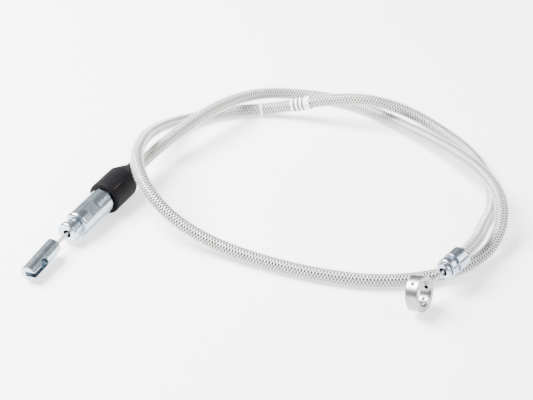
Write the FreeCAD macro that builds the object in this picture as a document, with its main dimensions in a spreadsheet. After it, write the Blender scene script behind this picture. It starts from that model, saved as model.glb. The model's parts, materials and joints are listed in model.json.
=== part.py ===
"""Mechanical release cable: a braided housing in a loose loop, with a slotted connector, a long
abutment body and a rubber boot at one end, and a short ferrule and a ring eyelet at the other.

Millimetres. +Z is up and z = 0 is the surface that the cable lies on. The origin is under the
middle of the end fittings. Each turned piece is modelled along its own +X axis, from its outer
end inwards, and is then placed on the left or the right cable axis.
"""
import FreeCAD, Part
import math
import os

import Sketcher

doc = FreeCAD.newDocument("release_cable")
sheet = doc.addObject("Spreadsheet::Sheet", "Dimensions")
nodes = []

DIMENSIONS = {
    # where the two ends lie: the centre of each nose face, and the way its axis runs inwards
    "left_nose_x": -105.3, "left_nose_y": 1.6, "left_nose_z": 8.47,
    "left_azimuth": 62.5, "left_slope": 3.0,
    "right_nose_x": 110.2, "right_nose_y": -44.1, "right_nose_z": 14.2,
    "right_azimuth": 48.5, "right_slope": 5.0,
    # housing layers, from the outside in
    "jacket_outer": 4.4, "jacket_inner": 3.9,
    "braid_outer": 3.85, "braid_inner": 3.35,
    "conduit_outer": 3.3, "conduit_inner": 2.3,
    "liner_outer": 2.25, "liner_inner": 1.65,
    "wire_radius": 1.2, "bush_bore": 1.27,
    # abutment body
    "flange_radius": 6.75, "flange_length": 3.0, "nose_bore": 2.6,
    "neck_radius": 5.3, "shoulder_start": 9.0,
    "body_radius": 7.95, "body_length": 58.0, "crimp_start": 37.2,
    "flat_distance": 7.08, "flat_start": 16.8, "flat_length": 9.3, "flat_angle": 52.0,
    "bush_start": 10.0, "bush_radius": 3.5, "conduit_start": 22.0,
    "socket_radius": 5.35, "cup_end": 32.0, "clamp_end": 40.0,
    # rubber boot
    "boot_mouth": 39.0, "boot_radius": 10.5, "boot_bore": 8.0,
    "boot_cone_start": 59.5, "boot_cone_end": 71.5, "boot_tail": 75.0,
    "boot_tail_radius": 5.7,
    "boot_tail_bore": 5.0,
    # slotted connector, measured from its far face
    "connector_radius": 5.0, "connector_length": 29.0, "connector_joint": 15.0,
    "connector_azimuth": 67.5, "connector_slope": 3.0, "connector_roll": 2.0, "slot_floor": 1.6,
    "connector_gap": 12.0, "ball_station": 20.5, "ball_radius": 2.9,
    "spigot_radius": 3.5, "spigot_end": 17.2, "chamber_radius": 3.2,
    "wire_hole_radius": 2.3, "window_radius": 3.6, "window_station": 10.5,
    "slot_width": 3.2, "groove_break": 0.5,
    # ferrule
    "spout_radius": 4.65, "spout_bore": 2.6, "spout_length": 1.9,
    "collar_radius": 6.1, "collar_end": 6.1, "groove_radius": 4.6, "groove_end": 8.8,
    "ferrule_radius": 6.25, "ferrule_length": 18.0,
    "ferrule_bush_start": 4.0, "ferrule_bush_radius": 3.2, "ferrule_seat": 9.0,
    "ferrule_socket": 4.95, "ferrule_clamp_end": 13.0,
    # ring eyelet
    "ring_radius": 10.1, "ring_bore": 6.35, "ring_width": 7.2, "ring_chamfer": 1.1,
    "ring_distance": 22.5, "ring_azimuth": -32.0, "ring_lean": 14.0,
    "cross_hole_radius": 1.1, "cross_hole_angle": 120.0,
    # moving wire ends
    "left_wire_inner_end": 40.0, "left_wire_overhang": 2.4,
    "right_wire_inner_end": 16.0, "right_wire_grip": 7.0,
    "left_wire_stop": 52.0, "right_wire_stop": 21.6,
    # paper label and white tape mark on the housing
    "label_thickness": 0.18, "label_length": 14.0, "label_place": 878.5,
    "tape_length": 1.9, "tape_place": 855.0,
}

# The housing's route between the boot and the ferrule, corner by corner. Its first and last
# two points lie on the axes of the fittings.
LEFT_STATIONS = (70.0, 96.0)
RIGHT_STATIONS = (33.0, 9.0)
MIDDLE_POINTS = [
    (-46, 107.9, 16.5), (-25.5, 134.9, 18.5), (-2.5, 162.9, 14), (19.5, 177.9, 8.5),
    (45.5, 180.4, 4.6), (69.5, 170.9, 4.6), (90.5, 152.9, 4.6), (112.5, 122.9, 8),
    (134, 82.9, 16), (148.5, 48.9, 19), (153, 24.9, 18.5), (151, 3.9, 12), (140.5, -14.1, 5.5),
    (121, -29.1, 4.6), (97.5, -38.1, 4.6), (68.5, -39.6, 4.6), (38.5, -32.6, 4.6),
    (8.5, -20.1, 4.6), (-19.5, -6.1, 7), (-42.5, 6.9, 14.5), (-59.5, 23.9, 24.5),
    (-68.5, 49.9, 30.5), (-67.5, 73.9, 28.5), (-63, 101.9, 20.5), (-53.5, 129.9, 10.5),
    (-39, 147.4, 4.8), (-13.5, 158.4, 4.6), (12.5, 159.9, 5), (34.5, 155.4, 11),
    (54.5, 149.4, 18), (77.5, 143.9, 22), (99.5, 143.4, 16.5), (117.5, 138.4, 9.5),
    (132.5, 125.4, 5), (145, 103.9, 4.6), (152, 78.9, 4.6), (153, 51.9, 4.6),
    (147.8, 25.9, 6.5), (139.3, 3.2, 13.2),
]
ARC_SHARE = 0.45  # how much of the shorter run each corner's arc takes


def fill_sheet():
    for row, (name, value) in enumerate(DIMENSIONS.items(), start=1):
        sheet.set(f"A{row}", name)
        sheet.set(f"B{row}", str(value))
        sheet.setAlias(f"B{row}", name)
    doc.recompute()


def size(name):
    return float(sheet.get(name))


def on_sheet(expression):
    """The same expression with each alias written as a cell of the sheet."""
    words = sorted(DIMENSIONS, key=len, reverse=True)
    text, out = expression, ""
    while text:
        word = next((w for w in words if text.startswith(w)), None)
        out += f"Dimensions.{word}" if word else text[0]
        text = text[len(word) if word else 1:]
    return out


def value_of(expression):
    """The number that an expression of aliases stands for, for the sketch's first guess."""
    total, sign = 0.0, 1
    for token in expression.replace("-", " - ").replace("+", " + ").split():
        if token in "+-":
            sign = -1 if token == "-" else 1
        else:
            number, _, name = token.rpartition("*")
            term = size(name) if name in DIMENSIONS else float(name)
            total += sign * term * (float(number) if number else 1)
            sign = 1
    return total


def axis_direction(azimuth, slope):
    across, up = math.radians(azimuth), math.radians(slope)
    return FreeCAD.Vector(
        math.cos(across) * math.cos(up), math.sin(across) * math.cos(up), math.sin(up)
    )


def axis_rotation(azimuth, slope, roll=0.0):
    """Turns +X to the axis, after rolling the piece about that axis."""
    turn = FreeCAD.Rotation(FreeCAD.Vector(0, 0, 1), azimuth)
    tip = FreeCAD.Rotation(FreeCAD.Vector(0, 1, 0), -slope)
    spin = FreeCAD.Rotation(FreeCAD.Vector(1, 0, 0), roll)
    return turn.multiply(tip).multiply(spin)


def side_point(side, station):
    """The point of the left or right cable axis that lies a distance inwards of its nose."""
    nose = FreeCAD.Vector(size(f"{side}_nose_x"), size(f"{side}_nose_y"), size(f"{side}_nose_z"))
    way = axis_direction(size(f"{side}_azimuth"), size(f"{side}_slope"))
    return nose + way * station


def side_placement(side, roll=0.0):
    turn = axis_rotation(size(f"{side}_azimuth"), size(f"{side}_slope"), roll)
    return FreeCAD.Placement(side_point(side, 0.0), turn)


def origin_plane(body, role):
    return next(f for f in body.Origin.OriginFeatures if getattr(f, "Role", "") == role)


def new_sketch(body, name, role):
    sketch = body.newObject("Sketcher::SketchObject", name)
    sketch.AttachmentSupport = [(origin_plane(body, role), "")]
    sketch.MapMode = "FlatFace"
    return sketch


def draw_outline(sketch, outline):
    """A closed outline whose corners are tied to the sheet, one pair of distances each."""
    corners = [FreeCAD.Vector(value_of(x), value_of(y), 0) for x, y in outline]
    count = len(corners)
    for index in range(count):
        sketch.addGeometry(Part.LineSegment(corners[index], corners[(index + 1) % count]), False)
    for index in range(count):
        sketch.addConstraint(
            Sketcher.Constraint("Coincident", index, 2, (index + 1) % count, 1)
        )
    for index, (x, y) in enumerate(outline):
        for kind, text in (("DistanceX", x), ("DistanceY", y)):
            place = sketch.addConstraint(
                Sketcher.Constraint(kind, -1, 1, index, 1, value_of(text))
            )
            sketch.setExpression(f"Constraints[{place}]", on_sheet(text))


def turned(label, outline):
    """A turned piece: its half section, revolved about its own +X axis."""
    body = doc.addObject("PartDesign::Body", label)
    body.Label = label
    sketch = new_sketch(body, f"{label}_section", "XZ_Plane")
    draw_outline(sketch, outline)
    revolution = body.newObject("PartDesign::Revolution", f"{label}_turning")
    revolution.Profile = sketch
    revolution.ReferenceAxis = (sketch, ["H_Axis"])
    revolution.Angle = 360
    doc.recompute()
    nodes.append(body)
    return body


def pocket(body, name, role, outline, from_floor=False):
    """Cuts an outline out of the body: right through it, or upwards from the slot's floor."""
    before = body.Shape.Volume
    sketch = new_sketch(body, f"{name}_outline", role)
    draw_outline(sketch, outline)
    cut = body.newObject("PartDesign::Pocket", name)
    cut.Profile = sketch
    if from_floor:
        cut_from_floor(cut, sketch)
    else:
        cut.Type = 1
        cut.Midplane = True
    doc.recompute()
    if not body.Shape.Volume < before - 0.01:
        raise RuntimeError(f"{name} cuts nothing")
    return cut


def round_edges(body, name, radius, chosen):
    """Rounds the circular edges at the given stations and radii."""
    picked = []
    for number, edge in enumerate(body.Shape.Edges, start=1):
        curve = edge.Curve
        if not hasattr(curve, "Radius") or not hasattr(curve, "Center"):
            continue
        middle = body.Placement.inverse().multVec(curve.Center)
        if any(abs(middle.x - x) < 0.01 and abs(curve.Radius - r) < 0.01 for x, r in chosen):
            picked.append(f"Edge{number}")
    if not picked:
        raise RuntimeError(f"{name} finds no edge")
    before = body.Tip
    fillet = body.newObject("PartDesign::Fillet", name)
    fillet.Base = (before, picked)
    fillet.Radius = radius
    body.Tip = fillet
    doc.recompute()


def sleeve(label, side, start, end, outer, inner):
    """A plain ring or bush on one of the two cable axes."""
    body = turned(label, [(start, inner), (end, inner), (end, outer), (start, outer)])
    body.Placement = side_placement(side)
    return body


def rod(label, side, start, end):
    body = turned(label, [(start, "0"), (end, "0"), (end, "wire_radius"), (start, "wire_radius")])
    body.Placement = side_placement(side)
    return body


# ---------------------------------------------------------------- left end


def make_end_body():
    """The zinc-plated abutment: lipped flange, clip neck, long barrel, six-sided crimp."""
    body = turned("end_body", [
        ("0", "nose_bore"), ("bush_start", "nose_bore"), ("bush_start", "bush_radius"),
        ("conduit_start", "bush_radius"), ("conduit_start", "socket_radius"),
        ("body_length", "socket_radius"), ("body_length", "body_radius"),
        ("shoulder_start", "body_radius"), ("shoulder_start", "neck_radius"),
        ("flange_length", "neck_radius"), ("flange_length", "flange_radius"),
        ("0", "flange_radius"),
    ])
    half_width = "2*body_radius"
    for sign, name in (("", "upper_flat"), ("-", "lower_flat")):
        near, far = f"{sign}flat_distance", f"{sign}{half_width}"
        pocket(body, name, "XZ_Plane", [
            ("flat_start", near), ("flat_start+flat_length", near),
            ("flat_start+flat_length", far), ("flat_start", far),
        ])
    crimp_flats(body)
    round_edges(body, "lip_rounding", 1.1, [(0, size("flange_radius"))])
    round_edges(body, "flange_back_rounding", 0.6, [(size("flange_length"), size("flange_radius"))])
    round_edges(body, "shoulder_rounding", 1.8, [(size("shoulder_start"), size("body_radius"))])
    body.Placement = side_placement("left", 90.0 - size("flat_angle"))


def crimp_flats(body):
    """Six cuts round the axis press the rear into a hexagon with a corner over each wrench flat."""
    apothem = f"{math.cos(math.pi / 6):.6f}*body_radius"
    first = pocket(body, "crimp_flat", "XY_Plane", [
        ("crimp_start", apothem), ("body_length+1", apothem),
        ("body_length+1", "2*body_radius"), ("crimp_start", "2*body_radius"),
    ])
    pattern = body.newObject("PartDesign::PolarPattern", "crimp_flats")
    pattern.Originals = [first]
    axis = next(f for f in body.Origin.OriginFeatures if getattr(f, "Role", "") == "X_Axis")
    pattern.Axis = (axis, [""])
    pattern.Angle = 360
    pattern.Occurrences = 6
    body.Tip = pattern
    doc.recompute()


def make_left_inner_pieces():
    sleeve("nose_guide_bush", "left", "bush_start", "conduit_start", "bush_radius", "bush_bore")
    sleeve("conduit_end_cup", "left", "conduit_start", "cup_end", "socket_radius", "conduit_outer")
    sleeve("braid_clamp_ring", "left", "cup_end", "clamp_end", "socket_radius", "braid_outer")
    sleeve("jacket_crimp_sleeve", "left", "clamp_end", "body_length", "socket_radius",
           "jacket_outer")


def make_boot():
    """A rubber boot: a straight skirt over the body's rear, then a cone down to the housing."""
    body = turned("rubber_boot", [
        ("boot_mouth", "boot_bore"), ("boot_cone_start", "boot_bore"),
        ("boot_cone_start+7", "boot_tail_bore"), ("boot_tail", "boot_tail_bore"),
        ("boot_tail", "boot_tail_radius"), ("boot_cone_end", "boot_tail_radius"),
        ("boot_cone_start", "boot_radius"),
        ("boot_mouth", "boot_radius"),
    ])
    round_edges(body, "mouth_rounding", 0.8, [(size("boot_mouth"), size("boot_radius"))])
    round_edges(body, "cone_rounding", 3.0, [(size("boot_cone_start"), size("boot_radius"))])
    body.Placement = side_placement("left")


def connector_placement():
    """The connector hangs on the ball nipple, so its axis passes through the ball's centre."""
    azimuth, slope = size("connector_azimuth"), size("connector_slope")
    far_face = ball_centre() - axis_direction(azimuth, slope) * size("ball_station")
    roll = 90.0 - size("connector_roll")
    return FreeCAD.Placement(far_face, axis_rotation(azimuth, slope, roll))


def ball_centre():
    reach = size("connector_gap") + size("connector_length") - size("ball_station")
    return side_point("left", -reach)


def make_connector_barrel():
    """The keyhole half: a round window for the mating ball and a slot out through the end."""
    body = turned("connector_barrel", [
        ("0", "0"), ("spigot_end", "0"), ("spigot_end", "spigot_radius"),
        ("connector_joint", "spigot_radius"),
        ("connector_joint", "connector_radius-groove_break"),
        ("connector_joint-groove_break", "connector_radius"), ("0.5", "connector_radius"),
        ("0", "connector_radius-0.5"),
    ])
    cut_window(body)
    pocket(body, "keyhole_slot", "XY_Plane", [
        ("-1", "-0.5*slot_width"), ("window_station", "-0.5*slot_width"),
        ("window_station", "0.5*slot_width"), ("-1", "0.5*slot_width"),
    ], from_floor=True)
    body.Placement = connector_placement()


def cut_window(body):
    """A flat-bottomed round pocket, bored from the side to a little past the axis."""
    before = body.Shape.Volume
    sketch = new_sketch(body, "window_outline", "XY_Plane")
    centre = FreeCAD.Vector(size("window_station"), 0, 0)
    radius = size("window_radius")
    sketch.addGeometry(Part.Circle(centre, FreeCAD.Vector(0, 0, 1), radius), False)
    sketch.addConstraint(Sketcher.Constraint("PointOnObject", 0, 3, -1))
    place = sketch.addConstraint(Sketcher.Constraint("Radius", 0, radius))
    sketch.setExpression(f"Constraints[{place}]", on_sheet("window_radius"))
    place = sketch.addConstraint(Sketcher.Constraint("DistanceX", -1, 1, 0, 3, centre.x))
    sketch.setExpression(f"Constraints[{place}]", on_sheet("window_station"))
    cut = body.newObject("PartDesign::Pocket", "window")
    cut.Profile = sketch
    cut_from_floor(cut, sketch)
    doc.recompute()
    if not body.Shape.Volume < before - 1:
        raise RuntimeError("the window cuts nothing")


def cut_from_floor(cut, sketch):
    """Cuts upwards and out of the piece from a floor that lies below its axis."""
    sketch.setExpression("AttachmentOffset.Base.z", on_sheet("-slot_floor"))
    cut.Reversed = True
    cut.setExpression("Length", on_sheet("2*connector_radius+slot_floor"))


def make_connector_cap():
    """The wire half: a chamber that holds the ball nipple, and a wide mouth for the wire."""
    body = turned("connector_cap", [
        ("connector_joint", "spigot_radius"), ("spigot_end+0.3", "spigot_radius"),
        ("spigot_end+0.3", "chamber_radius"), ("ball_station+1", "chamber_radius"),
        ("ball_station+3", "wire_hole_radius"), ("connector_length", "wire_hole_radius"),
        ("connector_length", "connector_radius-1"), ("connector_length-1", "connector_radius"),
        ("connector_joint+groove_break", "connector_radius"),
        ("connector_joint", "connector_radius-groove_break"),
    ])
    body.Placement = connector_placement()


def make_ball_nipple():
    """A steel ball swaged on the wire's end, bored through for it."""
    ball = doc.addObject("Part::Sphere", "nipple_ball")
    ball.setExpression("Radius", "Dimensions.ball_radius")
    bore = doc.addObject("Part::Cylinder", "nipple_bore")
    bore.setExpression("Radius", "Dimensions.wire_radius")
    bore.Height = 20
    bore.Placement = FreeCAD.Placement(
        FreeCAD.Vector(-10, 0, 0), FreeCAD.Rotation(FreeCAD.Vector(0, 1, 0), 90))
    nipple = doc.addObject("Part::Cut", "ball_nipple")
    nipple.Base = ball
    nipple.Tool = bore
    nipple.Label = "ball_nipple"
    nipple.Placement = FreeCAD.Placement(
        ball_centre(), axis_rotation(size("left_azimuth"), size("left_slope")))
    doc.recompute()
    nodes.append(nipple)


def make_left_wire():
    start = "-connector_gap-connector_length+ball_station-left_wire_overhang"
    rod("left_pull_wire", "left", start, "left_wire_inner_end")


# ---------------------------------------------------------------- right end


def make_ferrule():
    """The short end cap: spout, fine groove, collar, clip groove and crimped barrel."""
    body = turned("end_ferrule", [
        ("0", "spout_bore"), ("ferrule_bush_start", "spout_bore"),
        ("ferrule_bush_start", "ferrule_bush_radius"), ("ferrule_seat", "ferrule_bush_radius"),
        ("ferrule_seat", "ferrule_socket"), ("ferrule_length", "ferrule_socket"),
        ("ferrule_length", "ferrule_radius"), ("groove_end", "ferrule_radius"),
        ("groove_end", "groove_radius"), ("collar_end", "groove_radius"),
        ("collar_end", "collar_radius"), ("spout_length+0.6", "collar_radius"),
        ("spout_length+0.6", "spout_radius-0.5"), ("spout_length", "spout_radius-0.5"),
        ("spout_length", "spout_radius"), ("0.4", "spout_radius"), ("0", "spout_radius-0.4"),
    ])
    length = size("ferrule_length")
    collar = size("spout_length") + 0.6
    round_edges(body, "rear_rounding", 1.2, [(length, size("ferrule_radius"))])
    round_edges(body, "collar_rounding", 1.0, [(collar, size("collar_radius"))])
    round_edges(body, "barrel_rounding", 0.5, [(size("groove_end"), size("ferrule_radius"))])
    body.Placement = side_placement("right")


def make_right_inner_pieces():
    sleeve("ferrule_guide_bush", "right", "ferrule_bush_start", "ferrule_seat",
           "ferrule_bush_radius", "bush_bore")
    sleeve("ferrule_clamp_ring", "right", "ferrule_seat", "ferrule_clamp_end",
           "ferrule_socket", "braid_outer")
    sleeve("ferrule_crimp_sleeve", "right", "ferrule_clamp_end", "ferrule_length",
           "ferrule_socket", "jacket_outer")


def ring_placement():
    centre = side_point("right", -size("ring_distance"))
    return FreeCAD.Placement(centre, axis_rotation(size("ring_azimuth"), size("ring_lean")))


def make_ring_eyelet():
    """A steel ring that the wire is swaged into, with one small hole drilled right across."""
    half = "0.5*ring_width"
    blank = turned("ring_blank", [
        (f"-{half}", "ring_bore+ring_chamfer"), (f"-{half}+ring_chamfer", "ring_bore"),
        (f"{half}-ring_chamfer", "ring_bore"), (half, "ring_bore+ring_chamfer"),
        (half, "ring_radius-0.4"), (f"{half}-0.4", "ring_radius"),
        (f"-{half}+0.4", "ring_radius"), (f"-{half}", "ring_radius-0.4"),
    ])
    nodes.remove(blank)
    blank.Placement = ring_placement()
    across = doc.addObject("Part::Cylinder", "ring_cross_drill")
    across.setExpression("Radius", "Dimensions.cross_hole_radius")
    across.Height = 30
    inward = FreeCAD.Rotation(FreeCAD.Vector(1, 0, 0), size("cross_hole_angle") - 90.0)
    across.Placement = ring_placement().multiply(
        FreeCAD.Placement(inward.multVec(FreeCAD.Vector(0, 0, -15)), inward))
    grip = doc.addObject("Part::Cylinder", "ring_wire_drill")
    grip.setExpression("Radius", "Dimensions.wire_radius")
    grip.Height = 12
    along = axis_rotation(size("right_azimuth"), size("right_slope"))
    upright = FreeCAD.Rotation(FreeCAD.Vector(0, 1, 0), 90)
    grip.Placement = FreeCAD.Placement(
        side_point("right", -size("ring_distance")), along.multiply(upright))
    drills = doc.addObject("Part::Fuse", "ring_drills")
    drills.Base = across
    drills.Tool = grip
    ring = doc.addObject("Part::Cut", "ring_eyelet")
    ring.Base = blank
    ring.Tool = drills
    ring.Label = "ring_eyelet"
    doc.recompute()
    nodes.append(ring)


def make_right_wire():
    rod("right_pull_wire", "right", "right_wire_grip-ring_distance", "right_wire_inner_end")


# ---------------------------------------------------------------- housing


def route_corners():
    left = [side_point("left", station) for station in LEFT_STATIONS]
    right = [side_point("right", station) for station in RIGHT_STATIONS]
    return left + [FreeCAD.Vector(*point) for point in MIDDLE_POINTS] + right


def corner_arc(before, corner, after):
    """The tangent arc at one corner: its two ends and its middle, and its radius."""
    back, ahead = before - corner, after - corner
    reach = ARC_SHARE * min(back.Length, ahead.Length)
    back.normalize()
    ahead.normalize()
    half_turn = (math.pi - back.getAngle(ahead)) / 2
    radius = reach / math.tan(half_turn)
    inward = back + ahead
    inward.normalize()
    depth = radius / math.cos(half_turn) - radius
    return corner + back * reach, corner + inward * depth, corner + ahead * reach, radius


def route_wire(left_station, right_station):
    """The housing's centre line: straight runs joined by tangent arcs."""
    corners = route_corners()
    at = side_point("left", left_station)
    edges = []
    for before, corner, after in zip(corners, corners[1:], corners[2:]):
        begin, middle, finish, _ = corner_arc(before, corner, after)
        edges.append(Part.LineSegment(at, begin).toShape())
        edges.append(Part.Arc(begin, middle, finish).toShape())
        at = finish
    edges.append(Part.LineSegment(at, side_point("right", right_station)).toShape())
    return Part.Wire(edges)


def stretch_of(wire, start, length):
    """The part of a wire that begins a distance along it and has a given length."""
    pieces, passed, end = [], 0.0, start + length
    for edge in wire.Edges:
        low, high = max(start, passed), min(end, passed + edge.Length)
        if high > low + 1e-6:
            first = edge.getParameterByLength(low - passed)
            to_end = high - passed > edge.Length - 1e-7
            last = edge.LastParameter if to_end else edge.getParameterByLength(high - passed)
            pieces.append(edge.Curve.toShape(first, last))
        passed += edge.Length
    return Part.Wire(pieces)


def round_bar(wire, radius):
    """A solid bar with a round section along a wire."""
    edge = wire.Edges[0]
    at = edge.valueAt(edge.FirstParameter)
    way = edge.tangentAt(edge.FirstParameter)
    rim = Part.Wire(Part.Circle(at, way, radius).toShape())
    return wire.makePipeShell([rim], True, False)


def swept(label, wire, outer, inner=0.0):
    """A tube or a rod along the route."""
    feature = doc.addObject("Part::Feature", label)
    feature.Label = label
    bar = round_bar(wire, outer)
    if inner:
        bar = bar.cut(round_bar(wire, inner))
    feature.Shape = bar.Solids[0]
    expected = math.pi * (outer ** 2 - inner ** 2) * wire.Length
    volume = feature.Shape.Volume
    print(f"{label}: {wire.Length:.1f} mm, volume {volume:.0f} of {expected:.0f} mm3")
    if abs(volume - expected) > 0.01 * expected:
        raise RuntimeError(f"{label} has the wrong volume")
    nodes.append(feature)


def make_housing():
    layers = [
        ("outer_jacket", "jacket", "clamp_end", "ferrule_clamp_end"),
        ("braid_sleeve", "braid", "cup_end", "ferrule_seat"),
        ("wound_conduit", "conduit", "conduit_start", "ferrule_seat"),
        ("conduit_liner", "liner", "conduit_start", "ferrule_seat"),
    ]
    for label, layer, start, end in layers:
        wire = route_wire(size(start), size(end))
        swept(label, wire, size(f"{layer}_outer"), size(f"{layer}_inner"))
    inner = route_wire(size("left_wire_stop"), size("right_wire_stop"))
    swept("inner_wire", inner, size("wire_radius"))


def make_marks():
    """The blank paper label and the strip of white tape, both wrapped round the jacket."""
    wire = route_wire(size("clamp_end"), size("ferrule_clamp_end"))
    outer = size("jacket_outer") + size("label_thickness")
    for label, mark in (("paper_label", "label"), ("tape_mark", "tape")):
        stretch = stretch_of(wire, size(f"{mark}_place"), size(f"{mark}_length"))
        swept(label, stretch, outer, size("jacket_outer"))


def print_route():
    corners = route_corners()
    for number, triple in enumerate(zip(corners, corners[1:], corners[2:]), start=1):
        run = (triple[1] - triple[0]).Length
        print(f"corner {number}: run {run:.0f} mm, radius {corner_arc(*triple)[3]:.0f} mm")


def check_and_export():
    for item in doc.Objects:
        if "Invalid" in item.State or "Error" in item.State:
            raise RuntimeError(f"{item.Name} has failed: {item.State}")
    os.makedirs("parts", exist_ok=True)
    box = FreeCAD.BoundBox()
    for node in nodes:
        shape = node.Shape
        if shape.isNull() or not shape.isValid():
            raise RuntimeError(f"{node.Label} has no valid shape")
        shape.exportStep(f"parts/{node.Label}.step")
        if node.Label not in CORD_LABELS:
            box.add(shape.BoundBox)
    print(f"{len(nodes)} nodes, fittings from {box.XMin:.2f} {box.YMin:.2f} {box.ZMin:.2f}"
          f" to {box.XMax:.2f} {box.YMax:.2f} {box.ZMax:.2f}")


CORD_LABELS = {
    "outer_jacket", "braid_sleeve", "wound_conduit", "conduit_liner", "inner_wire",
    "paper_label", "tape_mark",
}

fill_sheet()
make_end_body()
make_left_inner_pieces()
make_boot()
make_connector_barrel()
make_connector_cap()
make_ball_nipple()
make_left_wire()
make_ferrule()
make_right_inner_pieces()
make_ring_eyelet()
make_right_wire()
print_route()
make_housing()
make_marks()
check_and_export()
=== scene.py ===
import json
import math

import bpy
import numpy as np
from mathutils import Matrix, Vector


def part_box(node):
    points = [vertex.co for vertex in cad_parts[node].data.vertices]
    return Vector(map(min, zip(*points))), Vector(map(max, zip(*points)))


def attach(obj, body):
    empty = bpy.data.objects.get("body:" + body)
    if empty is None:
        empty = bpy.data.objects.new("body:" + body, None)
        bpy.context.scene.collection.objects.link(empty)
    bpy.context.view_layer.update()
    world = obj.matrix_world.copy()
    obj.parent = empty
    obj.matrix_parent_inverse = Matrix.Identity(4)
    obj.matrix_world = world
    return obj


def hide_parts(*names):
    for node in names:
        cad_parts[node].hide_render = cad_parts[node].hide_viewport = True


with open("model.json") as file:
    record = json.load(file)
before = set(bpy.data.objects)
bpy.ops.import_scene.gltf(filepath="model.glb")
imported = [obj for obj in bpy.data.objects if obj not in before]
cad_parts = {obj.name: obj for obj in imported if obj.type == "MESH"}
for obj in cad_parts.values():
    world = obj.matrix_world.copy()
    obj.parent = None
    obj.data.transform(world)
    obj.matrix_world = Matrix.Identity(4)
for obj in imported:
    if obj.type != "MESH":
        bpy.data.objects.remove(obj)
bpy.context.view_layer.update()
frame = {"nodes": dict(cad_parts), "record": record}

record = frame["record"]
nodes = frame["nodes"]
joints = {joint["name"]: joint for joint in record["behaviour"]["joints"]}
mounts = {mount["name"]: mount for mount in record["mounts"]}

MM = 0.001

# The axes of the two end fittings, pointing inwards, and their nose faces
LEFT_IN = Vector(joints["wire_draw"]["axis"])
RIGHT_IN = -Vector(joints["ring_pull"]["axis"])
LEFT_NOSE = Vector(mounts["body_neck"]["pos_m"]) - LEFT_IN * 6.0 * MM
RIGHT_NOSE = Vector(mounts["ferrule_spout"]["pos_m"]) - RIGHT_IN * 1.0 * MM
CONNECTOR_AXIS = Vector(joints["connector_swivel"]["axis"])
RING_AXIS = Vector(mounts["ring_bore"]["axis"])
BALL = Vector(joints["connector_swivel"]["pos_m"])
RING_CENTRE = Vector(mounts["ring_bore"]["pos_m"])

# The housing's layers
JACKET_RADIUS = 4.4 * MM
BRAID_RADIUS = 3.62 * MM
CONDUIT_RADIUS = 3.15 * MM
LINER_RADIUS = 2.2 * MM
WIRE_RADIUS = 1.2 * MM
CONDUIT_COIL = 2.6 * MM  # from one ridge of the conduit to the next
RIDGE_DEPTH = 0.06 * MM
LINE_STEP = 1.2 * MM

# How far the fixed inner wire stops short of the jacket's two ends
LEFT_WIRE_GAP = 12.0 * MM
RIGHT_WIRE_GAP = 8.6 * MM

# The label and the tape, each about its middle
LABEL_HALF = 7.0 * MM
TAPE_HALF = 0.95 * MM

# The braid: flat strands, as many each way round, with a low arch across each
CARRIERS = 6
BRAID_PITCH = 11.7 * MM
STRAND_HALF = 1.12 * MM
STRAND_THICK = 0.20 * MM
STRAND_LIFT = 0.13 * MM
STRAND_ARCH = ((-1, -0.6), (-0.62, 0.15), (0, 0.4), (0.62, 0.15), (1, -0.6))

# The bare wires at the two ends
ROPE_LAY = 13.0 * MM
ROPE_STEP = 0.35 * MM
BALL_OVERHANG = 2.4 * MM
LEFT_ROPE = 62.8 * MM
RING_GRIP = 7.0 * MM
RIGHT_ROPE = 31.5 * MM

# The same corners as the CAD route, in metres
ROUTE = [LEFT_NOSE + LEFT_IN * (w * MM) for w in (40, 70, 96)]
ROUTE += [Vector(point) for point in (
    (-0.046, 0.1079, 0.0165), (-0.0255, 0.1349, 0.0185), (-0.0025, 0.1629, 0.014),
    (0.0195, 0.1779, 0.0085), (0.0455, 0.1804, 0.0046), (0.0695, 0.1709, 0.0046),
    (0.0905, 0.1529, 0.0046), (0.1125, 0.1229, 0.008), (0.134, 0.0829, 0.016),
    (0.1485, 0.0489, 0.019), (0.153, 0.0249, 0.0185), (0.151, 0.0039, 0.012),
    (0.1405, -0.0141, 0.0055), (0.121, -0.0291, 0.0046), (0.0975, -0.0381, 0.0046),
    (0.0685, -0.0396, 0.0046), (0.0385, -0.0326, 0.0046), (0.0085, -0.0201, 0.0046),
    (-0.0195, -0.0061, 0.007), (-0.0425, 0.0069, 0.0145), (-0.0595, 0.0239, 0.0245),
    (-0.0685, 0.0499, 0.0305), (-0.0675, 0.0739, 0.0285), (-0.063, 0.1019, 0.0205),
    (-0.0535, 0.1299, 0.0105), (-0.039, 0.1474, 0.0048), (-0.0135, 0.1584, 0.0046),
    (0.0125, 0.1599, 0.005), (0.0345, 0.1554, 0.011), (0.0545, 0.1494, 0.018),
    (0.0775, 0.1439, 0.022), (0.0995, 0.1434, 0.0165), (0.1175, 0.1384, 0.0095),
    (0.1325, 0.1254, 0.005), (0.145, 0.1039, 0.0046), (0.152, 0.0789, 0.0046),
    (0.153, 0.0519, 0.0046), (0.1478, 0.0259, 0.0065), (0.1393, 0.0032, 0.0132),
)]
ROUTE += [RIGHT_NOSE + RIGHT_IN * (w * MM) for w in (33, 13)]


# ---------------------------------------------------------------- camera


def add_camera():
    data = bpy.data.cameras.new("camera")
    data.sensor_width = 36.0
    data.lens = 84.8
    camera = bpy.data.objects.new("camera", data)
    camera.location = (0.0121, -0.6074, 0.4277)
    camera.rotation_euler = (math.radians(57.0), 0.0, 0.0)
    bpy.context.collection.objects.link(camera)
    bpy.context.scene.camera = camera


# ---------------------------------------------------------------- materials


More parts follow.
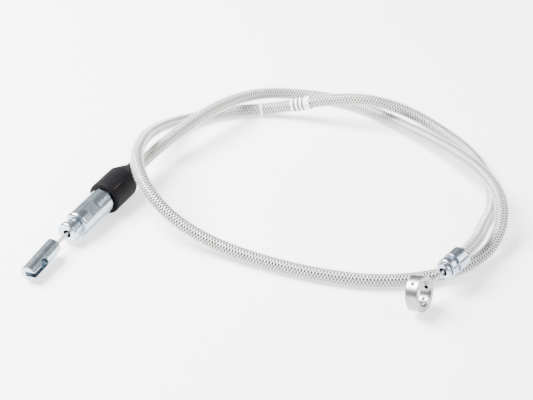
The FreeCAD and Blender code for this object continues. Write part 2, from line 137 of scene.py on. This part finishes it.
class Shader:
    """A node tree with short ways to add what the materials here use."""

    def __init__(self, name):
        self.material = bpy.data.materials.new(name)
        self.material.use_nodes = True
        self.tree = self.material.node_tree
        self.bsdf = self.tree.nodes["Principled BSDF"]
        self.place = self.add("ShaderNodeTexCoord").outputs["Object"]

    def add(self, kind, **settings):
        node = self.tree.nodes.new(kind)
        for name, value in settings.items():
            setattr(node, name, value)
        return node

    def put(self, source, target):
        if hasattr(source, "is_output"):
            self.tree.links.new(source, target)
        else:
            target.default_value = source

    def noise(self, scale, detail=4.0, rough=0.55):
        node = self.add("ShaderNodeTexNoise")
        node.inputs["Scale"].default_value = scale
        node.inputs["Detail"].default_value = detail
        node.inputs["Roughness"].default_value = rough
        self.put(self.place, node.inputs["Vector"])
        return node.outputs["Fac"]

    def lines(self, axis, scale, detail=3.0):
        """Noise that changes only along an axis, as turning leaves on a lathe."""
        dot = self.add("ShaderNodeVectorMath", operation="DOT_PRODUCT")
        self.put(self.place, dot.inputs[0])
        dot.inputs[1].default_value = tuple(axis)
        node = self.add("ShaderNodeTexNoise", noise_dimensions="1D")
        node.inputs["Scale"].default_value = scale
        node.inputs["Detail"].default_value = detail
        self.put(dot.outputs["Value"], node.inputs["W"])
        return node.outputs["Fac"]

    def ramp(self, source, *stops):
        node = self.add("ShaderNodeValToRGB")
        elements = node.color_ramp.elements
        while len(elements) < len(stops):
            elements.new(0.5)
        for element, (at, colour) in zip(elements, stops):
            element.position = at
            element.color = (*colour, 1.0) if hasattr(colour, "__len__") else (colour,) * 3 + (1.0,)
        self.put(source, node.inputs["Fac"])
        return node.outputs["Color"]

    def span(self, source, low, high):
        """A 0 to 1 value stretched to low to high."""
        node = self.add("ShaderNodeMapRange")
        self.put(source, node.inputs["Value"])
        node.inputs["To Min"].default_value = low
        node.inputs["To Max"].default_value = high
        return node.outputs["Result"]

    def sum(self, *parts):
        total = None
        for source, weight in parts:
            scaled = self.add("ShaderNodeMath", operation="MULTIPLY")
            self.put(source, scaled.inputs[0])
            scaled.inputs[1].default_value = weight
            if total is None:
                total = scaled.outputs[0]
                continue
            both = self.add("ShaderNodeMath", operation="ADD")
            self.put(total, both.inputs[0])
            self.put(scaled.outputs[0], both.inputs[1])
            total = both.outputs[0]
        return total

    def bump(self, height, strength, distance):
        node = self.add("ShaderNodeBump")
        node.inputs["Strength"].default_value = strength
        node.inputs["Distance"].default_value = distance
        self.put(height, node.inputs["Height"])
        self.put(node.outputs["Normal"], self.bsdf.inputs["Normal"])

    def finish(self, **sockets):
        for name, value in sockets.items():
            self.put(value, self.bsdf.inputs[name.replace("_", " ")])
        return self.material


def zinc(name, axis, tint=(0.42, 0.49, 0.55)):
    """Blue-white zinc plate over turned steel: soft clouds, fine turning lines, small scuffs."""
    s = Shader(name)
    cloud = s.noise(180.0, 5.0)
    turning = s.lines(axis, 9000.0)
    scuff = s.noise(1400.0, 2.0)
    dull = tuple(0.88 * c for c in tint)
    light = tuple(min(1.0, 1.10 * c) for c in tint)
    colour = s.ramp(cloud, (0.30, dull), (0.55, tint), (0.75, light))
    rough = s.span(s.sum((cloud, 0.5), (turning, 0.3), (scuff, 0.2)), 0.15, 0.33)
    s.bump(s.sum((turning, 0.7), (scuff, 0.3)), 0.15, 0.00005)
    return s.finish(Base_Color=colour, Roughness=rough, Metallic=1.0)


def steel(name, axis, tint, low=0.16, high=0.45):
    """Plain turned steel, a little greyer where it is handled."""
    s = Shader(name)
    cloud = s.noise(240.0, 5.0)
    turning = s.lines(axis, 7000.0)
    dark = tuple(0.82 * c for c in tint)
    colour = s.ramp(cloud, (0.3, dark), (0.7, tint))
    rough = s.span(s.sum((cloud, 0.6), (turning, 0.4)), low, high)
    s.bump(s.sum((turning, 0.6), (s.noise(2600.0, 2.0), 0.4)), 0.25, 0.00006)
    return s.finish(Base_Color=colour, Roughness=rough, Metallic=1.0)


def plastic(name, low, high, rough=0.45):
    s = Shader(name)
    cloud = s.noise(300.0, 4.0)
    s.bump(s.noise(2400.0, 3.0), 0.2, 0.00005)
    colour = s.ramp(cloud, (0.3, low), (0.7, high))
    return s.finish(Base_Color=colour, Roughness=s.span(cloud, rough - 0.08, rough + 0.1))


def rubber():
    """Charcoal-black moulded rubber with a fine grain and paler rubbed patches."""
    s = Shader("boot_rubber")
    cloud = s.noise(110.0, 6.0)
    grain = s.noise(2800.0, 3.0)
    rub = s.noise(420.0, 6.0, rough=0.7)
    patches = s.sum((cloud, 0.6), (rub, 0.4))
    colour = s.ramp(patches, (0.35, (0.0030, 0.0030, 0.0040)), (0.6, (0.005, 0.005, 0.0064)),
                    (0.8, (0.010, 0.0095, 0.0105)))
    s.bump(s.sum((grain, 0.6), (rub, 0.4)), 0.35, 0.00010)
    s.bsdf.inputs["Specular IOR Level"].default_value = 0.08
    return s.finish(Base_Color=colour, Roughness=s.span(patches, 0.50, 0.72), Metallic=0.0)


def braid_metal():
    """Bright braid: fine wires run along each strand, with painted shade where it dips under."""
    s = Shader("bright_braid")
    uv = s.add("ShaderNodeTexCoord").outputs["UV"]
    split = s.add("ShaderNodeSeparateXYZ")
    s.put(uv, split.inputs[0])
    stripes = s.add("ShaderNodeMath", operation="SINE")
    turns = s.add("ShaderNodeMath", operation="MULTIPLY")
    s.put(split.outputs["X"], turns.inputs[0])
    turns.inputs[1].default_value = 5 * 2 * math.pi
    s.put(turns.outputs[0], stripes.inputs[0])
    cloud = s.noise(900.0, 3.0)
    # The weave, carried in the V coordinate, turns each strand near black where it dips under:
    # painted shade, with a little random tone from the noise.
    height = s.sum((split.outputs["Y"], 0.85), (cloud, 0.15))
    colour = s.ramp(height, (0.36, (0.10, 0.097, 0.09)), (0.64, (0.36, 0.35, 0.33)),
                    (0.86, (0.93, 0.93, 0.92)))
    s.bump(stripes.outputs[0], 0.35, 0.00004)
    s.bsdf.inputs["Coat Weight"].default_value = 0.5
    s.bsdf.inputs["Coat Roughness"].default_value = 0.12
    return s.finish(Base_Color=colour, Roughness=s.span(cloud, 0.34, 0.5), Metallic=0.5)


def clear_jacket():
    """Clear glossy plastic: nearly see-through face on, hazier at its edges, with a painted dark
    grey-lavender refraction line at its rim.
    """
    s = Shader("clear_plastic")
    weight = s.add("ShaderNodeLayerWeight")
    weight.inputs["Blend"].default_value = 0.45
    cloud = s.noise(60.0, 3.0)
    haze = s.ramp(weight.outputs["Facing"], (0.0, 0.01), (0.45, 0.02),
                  (0.60, 0.14), (0.84, 0.36), (1.0, 0.9))
    s.bump(s.noise(90.0, 2.0), 0.12, 0.0006)
    # Base colour turns dark grey-lavender where the tube is seen edge on: a painted dark refraction
    # edge.
    colour = s.ramp(weight.outputs["Facing"], (0.0, (0.93, 0.94, 0.96)), (0.74, (0.90, 0.91, 0.94)),
                    (0.90, (0.30, 0.30, 0.37)))
    s.bsdf.inputs["IOR"].default_value = 1.5
    return s.finish(Base_Color=colour, Alpha=haze, Roughness=s.span(cloud, 0.06, 0.12))


def rope_metal(name):
    s = Shader(name)
    cloud = s.noise(1500.0, 3.0)
    colour = s.ramp(cloud, (0.3, (0.34, 0.335, 0.32)), (0.7, (0.60, 0.60, 0.60)))
    s.bump(s.noise(6000.0, 2.0), 0.15, 0.00004)
    return s.finish(Base_Color=colour, Roughness=s.span(cloud, 0.22, 0.4), Metallic=1.0)


def paper():
    """White paper with three plain grey bars printed across it, by the label's own UV."""
    s = Shader("label_paper")
    uv = s.add("ShaderNodeTexCoord").outputs["UV"]
    split = s.add("ShaderNodeSeparateXYZ")
    s.put(uv, split.inputs[0])
    rows = s.ramp(split.outputs["Y"], (0.13, 0.0), (0.15, 1.0), (0.23, 1.0), (0.25, 0.0),
                  (0.35, 0.0), (0.37, 1.0), (0.45, 1.0), (0.47, 0.0),
                  (0.57, 0.0), (0.59, 1.0), (0.67, 1.0), (0.69, 0.0))
    fibre = s.noise(900.0, 5.0)
    sheet = s.ramp(fibre, (0.3, (0.90, 0.90, 0.895)), (0.7, (0.96, 0.96, 0.96)))
    mix = s.add("ShaderNodeMix", data_type="RGBA")
    s.put(rows, mix.inputs[0])
    s.put(sheet, mix.inputs[6])
    mix.inputs[7].default_value = (0.09, 0.09, 0.10, 1.0)
    s.bump(fibre, 0.25, 0.00006)
    return s.finish(Base_Color=mix.outputs[2], Roughness=s.span(fibre, 0.45, 0.7))


# ---------------------------------------------------------------- meshes


def new_mesh(name, points, faces, material, uv=None, smooth=True):
    mesh = bpy.data.meshes.new(name)
    points = np.asarray(points, dtype=np.float32)
    faces = np.asarray(faces, dtype=np.int32)
    mesh.vertices.add(len(points))
    mesh.vertices.foreach_set("co", points.ravel())
    mesh.loops.add(faces.size)
    mesh.loops.foreach_set("vertex_index", faces.ravel())
    mesh.polygons.add(len(faces))
    mesh.polygons.foreach_set("loop_start", np.arange(0, faces.size, faces.shape[1]))
    mesh.update(calc_edges=True)
    mesh.polygons.foreach_set("use_smooth", np.full(len(faces), smooth))
    if uv is not None:
        layer = mesh.uv_layers.new(name="UVMap")
        layer.data.foreach_set("uv", np.asarray(uv, dtype=np.float32)[faces.ravel()].ravel())
    mesh.materials.append(material)
    mesh.validate()
    obj = bpy.data.objects.new(name, mesh)
    bpy.context.collection.objects.link(obj)
    return obj


def grid_faces(rings, around, closed=True):
    """Quads between neighbouring rings of points."""
    r, k = np.meshgrid(np.arange(rings - 1), np.arange(around if closed else around - 1),
                       indexing="ij")
    a = r * around + k
    b = r * around + (k + 1) % around
    return np.stack([a, a + around, b + around, b], axis=-1).reshape(-1, 4)


class Line:
    """A centre line as evenly spaced points, each with a frame that doesn't twist."""

    def __init__(self, points, step):
        points = np.asarray(points, dtype=float)
        lengths = np.linalg.norm(np.diff(points, axis=0), axis=1)
        along = np.concatenate([[0.0], np.cumsum(lengths)])
        self.length = along[-1]
        count = max(2, int(round(self.length / step)) + 1)
        self.s = np.linspace(0.0, self.length, count)
        self.points = np.stack([np.interp(self.s, along, points[:, i]) for i in range(3)], 1)
        tangent = np.gradient(self.points, axis=0)
        self.tangent = tangent / np.linalg.norm(tangent, axis=1)[:, None]
        side = np.cross(self.tangent[0], (0.0, 0.0, 1.0))
        sides = [side / np.linalg.norm(side)]
        for t in self.tangent[1:]:
            side = sides[-1] - t * np.dot(sides[-1], t)
            sides.append(side / np.linalg.norm(side))
        self.side = np.array(sides)
        self.up = np.cross(self.side, self.tangent)

    def part(self, start, end, step):
        """The stretch between two distances along the line, cut exactly at both."""
        between = self.s[(self.s > start) & (self.s < end)]
        places = np.concatenate([[start], between, [end]])
        return Line(np.stack([np.interp(places, self.s, self.points[:, i])
                              for i in range(3)], 1), step)

    def ring(self, radius, angle):
        """Points at a radius and an angle about the line, one for each of its points."""
        out = np.cos(angle)[:, None] * self.side + np.sin(angle)[:, None] * self.up
        return self.points + np.asarray(radius)[..., None] * out


def tube(name, line, radius, material, around=28, wall=None):
    """A tube along a line. With a wall, its ends turn in by the wall's thickness."""
    angles = np.linspace(0.0, 2 * math.pi, around, endpoint=False)
    count = len(line.s)
    radii = np.broadcast_to(np.asarray(radius, dtype=float), (count,))
    shell = np.stack([line.ring(radii, np.full(count, a)) for a in angles], 1)
    v = np.repeat(line.s / line.length, around)
    u = np.tile(np.arange(around) / around, count)
    uv = np.stack([u, v], 1)
    rings = shell.reshape(-1, 3)
    faces = grid_faces(count, around)
    if wall:
        inner = np.stack([line.ring(radii - wall, np.full(count, a)) for a in angles], 1)
        order = np.concatenate([inner[:1], shell, inner[-1:]], 0)
        faces = grid_faces(count + 2, around)
        rings = order.reshape(-1, 3)
        uv = np.concatenate([uv[:around], uv, uv[-around:]], 0)
    return new_mesh(name, rings, faces, material, uv=uv)


def route_line():
    """The route's smooth line, as Blender evaluates its NURBS spline."""
    data = bpy.data.curves.new("route", "CURVE")
    data.dimensions = "3D"
    spline = data.splines.new("NURBS")
    spline.points.add(len(ROUTE) - 1)
    for point, place in zip(spline.points, ROUTE):
        point.co = (*place, 1.0)
    spline.order_u = 3
    spline.use_endpoint_u = True
    data.resolution_u = 24
    curve = bpy.data.objects.new("route", data)
    bpy.context.collection.objects.link(curve)
    mesh = bpy.data.meshes.new_from_object(curve)
    points = [tuple(vertex.co) for vertex in mesh.vertices]
    bpy.data.objects.remove(curve)
    bpy.data.meshes.remove(mesh)
    return points


def braid(line, material):
    """Flat strands wound both ways, each passing over one and under the next."""
    fine = Line(line.points, 0.36 * MM)
    verts, faces, uvs = [], [], []
    turn = 2 * math.pi * fine.s / BRAID_PITCH
    rows = len(STRAND_ARCH)
    across = np.tile([0.5 + 0.5 * side for side, _ in STRAND_ARCH], len(fine.s))
    quads = grid_faces(len(fine.s), rows)
    for way in (1, -1):
        weave = way * np.cos(CARRIERS * turn)
        for k in range(CARRIERS):
            angle = way * turn + 2 * math.pi * k / CARRIERS
            radius = BRAID_RADIUS + STRAND_LIFT * weave
            spread = STRAND_HALF / BRAID_RADIUS
            rails = []
            for side, height in STRAND_ARCH:
                rails.append(fine.ring(radius + height * STRAND_THICK, angle + side * spread))
            block = np.stack(rails, 1).reshape(-1, 3)
            faces.append(quads + sum(len(v) for v in verts))
            verts.append(block)
            # The V coordinate holds the weave, which the braid's material turns into painted shade
            # where a strand dips under.
            uvs.append(np.stack([across, np.repeat(0.5 + 0.5 * weave, rows)], 1))
    return new_mesh("braid_strands", np.concatenate(verts), np.concatenate(faces), material,
                    uv=np.concatenate(uvs))


def rope(name, start, way, length, material, body, replaced):
    """A straight stranded wire: six strands laid round a core."""
    core = Line([tuple(start + way * (length * i / 40)) for i in range(41)], ROPE_STEP)
    strand = WIRE_RADIUS / 3
    around = 7
    verts, faces = [], []
    for k in range(7):
        if k == 6:
            centre = core
        else:
            angle = 2 * math.pi * (core.s / ROPE_LAY + k / 6)
            centre = Line(core.ring(np.full(len(core.s), 2 * strand), angle), ROPE_STEP)
        count = len(centre.s)
        shell = np.stack([
            centre.ring(np.full(count, strand), np.full(count, 2 * math.pi * j / around))
            for j in range(around)
        ], 1).reshape(-1, 3)
        faces.append(grid_faces(count, around) + sum(len(v) for v in verts))
        verts.append(shell)
    obj = new_mesh(name, np.concatenate(verts), np.concatenate(faces), material)
    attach(obj, body)
    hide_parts(replaced)


def nearest(line, node):
    """How far along the line the middle of a CAD node lies."""
    low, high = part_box(node)
    middle = (np.array(low) + np.array(high)) / 2
    return line.s[np.argmin(np.linalg.norm(line.points - middle, axis=1))]


# ---------------------------------------------------------------- the cable


def build_housing():
    points = route_line()
    line = Line(points, LINE_STEP)
    jacket = tube("jacket", line, JACKET_RADIUS, clear_jacket(), 32, wall=0.5 * MM)
    strands = braid(line, braid_metal())
    ridges = CONDUIT_RADIUS - RIDGE_DEPTH * (1 + np.sin(2 * math.pi * line.s / CONDUIT_COIL))
    # Dark steel for the conduit, set near black so the gaps between the braid's strands read dark:
    # its own dark tone plus painted shade.
    conduit_steel_gap_shade = steel("conduit_steel_gap_shade", (0, 0, 1), (0.075, 0.072, 0.066), 0.4, 0.6)
    conduit = tube("conduit", line, ridges, conduit_steel_gap_shade, 16)
    liner = tube("liner", line, LINER_RADIUS, plastic("liner_nylon", (0.70, 0.69, 0.64),
                 (0.80, 0.79, 0.75)), 12)
    stopped = line.part(LEFT_WIRE_GAP, line.s[-1] - RIGHT_WIRE_GAP, LINE_STEP)
    core = tube("core_wire", stopped, WIRE_RADIUS, rope_metal("core_wire_metal"), 12)
    label_at, tape_at = nearest(line, "paper_label"), nearest(line, "tape_mark")
    label = tube("label", line.part(label_at - LABEL_HALF, label_at + LABEL_HALF, 0.4 * MM),
                 JACKET_RADIUS + 0.16 * MM, paper(), 40, wall=0.12 * MM)
    tape = tube("tape", line.part(tape_at - TAPE_HALF, tape_at + TAPE_HALF, 0.3 * MM),
                JACKET_RADIUS + 0.12 * MM, plastic("tape_white", (0.86, 0.86, 0.85),
                (0.92, 0.92, 0.92)), 40, wall=0.1 * MM)
    for piece, node, slot in (
        (jacket, "outer_jacket", "clear_jacket"), (strands, "braid_sleeve", "braid"),
        (conduit, "wound_conduit", "conduit"), (liner, "conduit_liner", "nylon"),
        (core, "inner_wire", "wire"), (label, "paper_label", "label"),
        (tape, "tape_mark", "tape"),
    ):
        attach(piece, "housing")
        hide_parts(node)


def dress(node, material):
    for slot in nodes[node].material_slots:
        slot.material = material


def build_fittings():
    dress("end_body", zinc("body_zinc", LEFT_IN))
    dress("end_ferrule", zinc("ferrule_zinc", RIGHT_IN, (0.43, 0.485, 0.56)))
    connector_zinc = zinc("connector_zinc", CONNECTOR_AXIS, (0.42, 0.485, 0.535))
    dress("connector_barrel", connector_zinc)
    dress("connector_cap", connector_zinc)
    dress("ring_eyelet", steel("ring_steel", RING_AXIS, (0.34, 0.345, 0.365), 0.2, 0.42))
    dress("rubber_boot", rubber())
    inner = steel("inner_steel", LEFT_IN, (0.55, 0.55, 0.55))
    for node in ("ball_nipple", "conduit_end_cup", "braid_clamp_ring", "jacket_crimp_sleeve",
                 "ferrule_clamp_ring", "ferrule_crimp_sleeve"):
        dress(node, inner)
    # Black acetal guide bushes, their black also standing in for the shade deep in the holes:
    # partly painted shade.
    acetal_hole_shade = plastic("black_acetal", (0.02, 0.02, 0.02), (0.035, 0.035, 0.035))
    for node in ("nose_guide_bush", "ferrule_guide_bush"):
        dress(node, acetal_hole_shade)


def build_mould_line():
    """A fine raised line along the boot, on its upper right side."""
    tilt = math.radians(41.0)
    right = LEFT_IN.cross(Vector((0.0, 0.0, 1.0))).normalized()
    out = right.cross(LEFT_IN).normalized() * math.cos(tilt) + right * math.sin(tilt)
    ends = [LEFT_NOSE + LEFT_IN * (w * MM) + out * (10.5 * MM) for w in (41.0, 49.5)]
    along = Line([tuple(ends[0].lerp(ends[1], i / 20)) for i in range(21)], 0.4 * MM)
    taper = 0.15 * MM * np.sin(np.linspace(0.15, math.pi - 0.15, len(along.s))) ** 0.5
    ridge = tube("mould_line", along, taper,
                 plastic("mould_line_rubber", (0.030, 0.012, 0.010), (0.05, 0.022, 0.018)), 10)
    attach(ridge, "boot")


def build_wires():
    metal = rope_metal("wire_metal")
    rope("left_wire_rope", BALL - LEFT_IN * BALL_OVERHANG, LEFT_IN, LEFT_ROPE, metal,
         "left_wire", "left_pull_wire")
    rope("right_wire_rope", RING_CENTRE + RIGHT_IN * RING_GRIP, RIGHT_IN, RIGHT_ROPE, metal,
         "right_wire", "right_pull_wire")


# ---------------------------------------------------------------- studio

FLOOR_GLOW = 1.2
SKY = 0.8


def add_floor():
    s = Shader("pale_floor")
    cloud = s.noise(3.0, 2.0)
    colour = s.ramp(cloud, (0.3, (0.93, 0.925, 0.915)), (0.7, (0.95, 0.947, 0.94)))
    s.bsdf.inputs["Emission Color"].default_value = (1.0, 1.0, 1.0, 1.0)
    s.bsdf.inputs["Emission Strength"].default_value = FLOOR_GLOW
    material = s.finish(Base_Color=colour, Roughness=0.55)
    size = 3.0
    corners = [(-size, -size, 0), (size, -size, 0), (size, size, 0), (-size, size, 0)]
    floor = new_mesh("floor", corners, [[0, 1, 2, 3]], material, smooth=False)


def add_light(name, place, target, size, power, colour=(1.0, 1.0, 1.0)):
    data = bpy.data.lights.new(name, "AREA")
    data.shape = "SQUARE"
    data.size = size
    data.energy = power
    data.color = colour
    light = bpy.data.objects.new(name, data)
    light.location = place
    way = Vector(target) - Vector(place)
    light.rotation_euler = way.to_track_quat("-Z", "Y").to_euler()
    bpy.context.collection.objects.link(light)


def add_world():
    """A studio with a dark band low down and another overhead, which show in the metal."""
    world = bpy.data.worlds.new("studio")
    world.use_nodes = True
    tree = world.node_tree
    place = tree.nodes.new("ShaderNodeTexCoord")
    split = tree.nodes.new("ShaderNodeSeparateXYZ")
    ramp = tree.nodes.new("ShaderNodeValToRGB")
    elements = ramp.color_ramp.elements
    bands = ((0.0, 0.9), (0.08, 0.08), (0.24, 0.10), (0.29, 1.2), (0.38, 1.2), (0.42, 0.36),
             (0.50, 0.36), (0.54, 1.5), (0.62, 1.5), (0.67, 0.42), (0.84, 0.42), (0.9, 0.9),
             (1.0, 0.5))
    while len(elements) < len(bands):
        elements.new(0.5)
    for element, (at, level) in zip(elements, bands):
        element.position = at
        element.color = (level * 0.97, level * 0.985, level, 1.0)
    tree.links.new(place.outputs["Generated"], split.inputs[0])
    tree.links.new(split.outputs["Z"], ramp.inputs["Fac"])
    background = tree.nodes["Background"]
    tree.links.new(ramp.outputs["Color"], background.inputs["Color"])
    background.inputs["Strength"].default_value = SKY
    bpy.context.scene.world = world


add_camera()
build_housing()
build_fittings()
build_wires()
build_mould_line()
add_floor()
add_world()
add_light("key", (-0.68, 0.24, 0.92), (0, 0.05, 0), 0.8, 100.0, (1.0, 0.99, 0.97))
add_light("fill", (0.9, -0.2, 0.7), (0.05, 0.05, 0), 0.8, 14.0)
